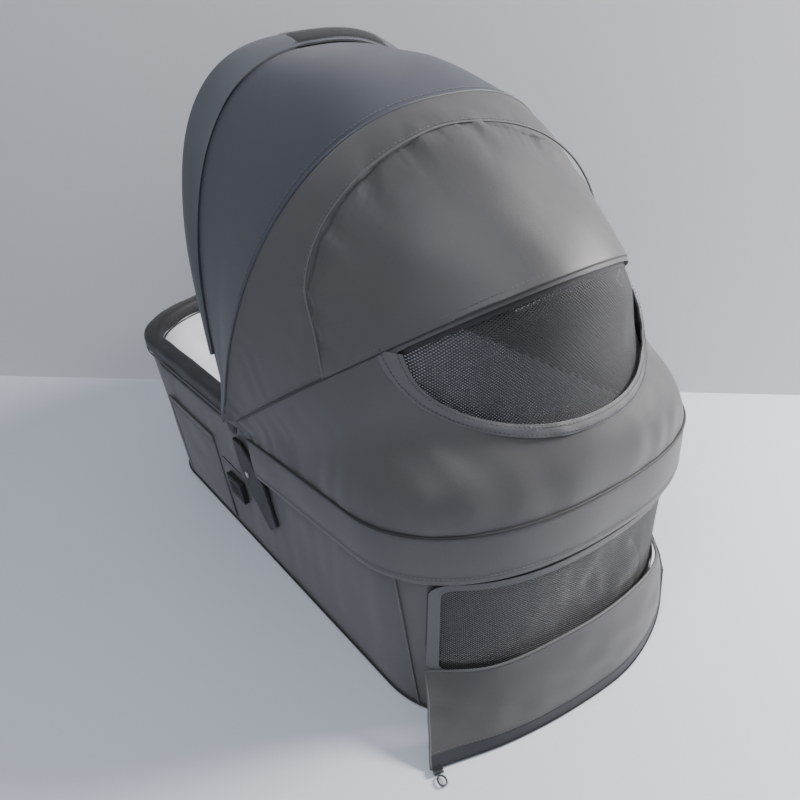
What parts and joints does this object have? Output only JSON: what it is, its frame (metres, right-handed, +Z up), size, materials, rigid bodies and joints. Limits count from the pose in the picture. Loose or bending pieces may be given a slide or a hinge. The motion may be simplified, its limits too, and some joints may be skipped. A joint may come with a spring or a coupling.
{
  "type": "pet stroller carrycot",
  "caption": "Soft pet stroller carrycot with padded rim, folding bow hood with mesh window, zip-down end flap over a mesh end and side adapters for a chassis.",
  "frame": {"origin": "centre of the footprint, on the floor under the feet", "axes": "+Z up, +Y towards the open foot end, -Y towards the hooded head end with the mesh window"},
  "size_m": [0.4558, 0.8713, 0.664],
  "materials": {
    "outer_fabric": "woven polyester, satin sheen",
    "trim_fabric": "charcoal woven polyester over padding",
    "liner_fabric": "soft white jersey",
    "mesh_fabric": "open knitted mesh",
    "zip_tape": "woven zip tape with coil teeth",
    "leather": "grained leatherette, stitched",
    "black_plastic": "fine-textured moulding",
    "rubber": "matt",
    "aluminium": "drawn tube",
    "steel": "plated",
    "zip_metal": "black nickel with worn bright edges",
    "board": "fibreboard in black cloth"
  },
  "bodies": {
    "carrycot": {"adapter_left": "black_plastic", "adapter_right": "black_plastic", "adapter_rivet_left": "steel", "adapter_rivet_right": "steel", "base_board": "board", "end_window_mesh": "mesh_fabric", "foot_1": "rubber", "foot_2": "rubber", "foot_3": "rubber", "foot_4": "rubber", "hinge_pin_left": "steel", "hinge_pin_right": "steel", "hood_panel_rear": "outer_fabric", "hood_skirt": "outer_fabric", "hood_window_mesh": "mesh_fabric", "hub_base_left": "black_plastic", "hub_base_right": "black_plastic", "hub_cap_left": "black_plastic", "hub_cap_right": "black_plastic", "mattress": "liner_fabric", "release_frame_left": "black_plastic", "release_frame_right": "black_plastic", "release_spring_left": "steel", "release_spring_right": "steel", "rim_band": "trim_fabric", "rim_frame": "aluminium", "side_pocket_left": "outer_fabric", "side_pocket_right": "outer_fabric", "tub_liner": "liner_fabric", "tub_shell": "outer_fabric"},
    "rear_bow": {"rear_bow_tube": "aluminium", "rear_bow_lug_left": "black_plastic", "rear_bow_lug_right": "black_plastic"},
    "mid_bow": {"mid_bow_tube": "aluminium", "mid_bow_lug_left": "black_plastic", "mid_bow_lug_right": "black_plastic", "hood_panel_middle": "outer_fabric"},
    "front_bow": {"front_bow_tube": "aluminium", "front_bow_lug_left": "black_plastic", "front_bow_lug_right": "black_plastic", "hood_front_band": "trim_fabric", "leather_grip": "leather", "hood_panel_front": "outer_fabric"},
    "zip_slider": {"zip_slider": "zip_metal"},
    "zip_pull": {"zip_pull": "zip_metal"},
    "release_button_left": {"release_button_left": "black_plastic"},
    "release_button_right": {"release_button_right": "black_plastic"},
    "flap_1": {"flap_fabric_1": "outer_fabric", "flap_tape_1": "zip_tape"},
    "flap_2": {"flap_fabric_2": "outer_fabric", "flap_tape_2": "zip_tape"},
    "flap_3": {"flap_fabric_3": "outer_fabric", "flap_tape_3": "zip_tape"},
    "flap_4": {"flap_fabric_4": "outer_fabric", "flap_tape_4": "zip_tape"},
    "flap_5": {"flap_fabric_5": "outer_fabric", "flap_tape_5": "zip_tape"}
  },
  "joints": [
    {"name": "rear_bow_fold", "type": "hinge", "parent": "carrycot", "child": "rear_bow", "pos_m": [0, -0.02875, 0.253], "axis": [1, 0, 0], "range_deg": [0, 22.6], "deforming": ["hood_panel_rear", "hood_window_mesh"]},
    {"name": "mid_bow_fold", "type": "hinge", "parent": "rear_bow", "child": "mid_bow", "pos_m": [0, -0.02875, 0.253], "axis": [1, 0, 0], "range_deg": [0, 18.7], "deforming": ["hood_panel_middle"]},
    {"name": "front_bow_fold", "type": "hinge", "parent": "mid_bow", "child": "front_bow", "pos_m": [0, -0.02875, 0.253], "axis": [1, 0, 0], "range_deg": [0, 27], "deforming": ["hood_panel_front"]},
    {"name": "flap_3_fold", "type": "hinge", "parent": "carrycot", "child": "flap_3", "pos_m": [0, -0.41883, 0.09688], "axis": [-1, 0, 0], "range_deg": [0, 166], "deforming": ["flap_fabric_1", "flap_fabric_2", "flap_fabric_3", "flap_fabric_4", "flap_fabric_5"]},
    {"name": "flap_2_turn", "type": "hinge", "parent": "flap_3", "child": "flap_2", "pos_m": [0.04307, -0.41883, 0.09688], "axis": [-0.0621, -0.4651, -0.8831], "range_deg": [0, 32.97]},
    {"name": "flap_1_turn", "type": "hinge", "parent": "flap_2", "child": "flap_1", "pos_m": [0.12569, -0.39585, 0.08792], "axis": [0.2659, -0.2311, -0.9359], "range_deg": [0, 62.04]},
    {"name": "flap_4_turn", "type": "hinge", "parent": "flap_3", "child": "flap_4", "pos_m": [-0.04307, -0.41883, 0.09688], "axis": [0.1404, 0.4613, 0.876], "range_deg": [0, 33]},
    {"name": "flap_5_turn", "type": "hinge", "parent": "flap_4", "child": "flap_5", "pos_m": [-0.12569, -0.39585, 0.08792], "axis": [0.5317, 0.1652, 0.8306], "range_deg": [0, 66.7]},
    {"name": "zip_slider_run", "type": "slide", "parent": "flap_5", "child": "zip_slider", "axis": [0.9578, -0.2873, 0], "range_m": [0, 0.07]},
    {"name": "zip_pull_lift", "type": "hinge", "parent": "zip_slider", "child": "zip_pull", "pos_m": [-0.21244, -0.40684, 0.0047], "axis": [-0.9578, 0.2873, 0], "range_deg": [0, 80]},
    {"name": "release_left_press", "type": "slide", "parent": "carrycot", "child": "release_button_left", "axis": [0.9973, 0, 0.0735], "range_m": [0, 0.0025], "stiffness_N_per_m": 400, "springref_m": -0.001, "deforming": ["release_spring_left"]},
    {"name": "release_right_press", "type": "slide", "parent": "carrycot", "child": "release_button_right", "axis": [-0.9973, 0, 0.0735], "range_m": [0, 0.0025], "stiffness_N_per_m": 400, "springref_m": -0.001, "deforming": ["release_spring_right"]}
  ],
  "couplings": [
    {"joint": "mid_bow_fold", "follows": "rear_bow_fold", "ratio": 0.8274},
    {"joint": "front_bow_fold", "follows": "rear_bow_fold", "ratio": 1.1947},
    {"joint": "flap_2_turn", "follows": "flap_3_fold", "ratio": 0.19856},
    {"joint": "flap_1_turn", "follows": "flap_3_fold", "ratio": 0.37373},
    {"joint": "flap_4_turn", "follows": "flap_3_fold", "ratio": 0.19878},
    {"joint": "flap_5_turn", "follows": "flap_3_fold", "ratio": 0.40175}
  ]
}
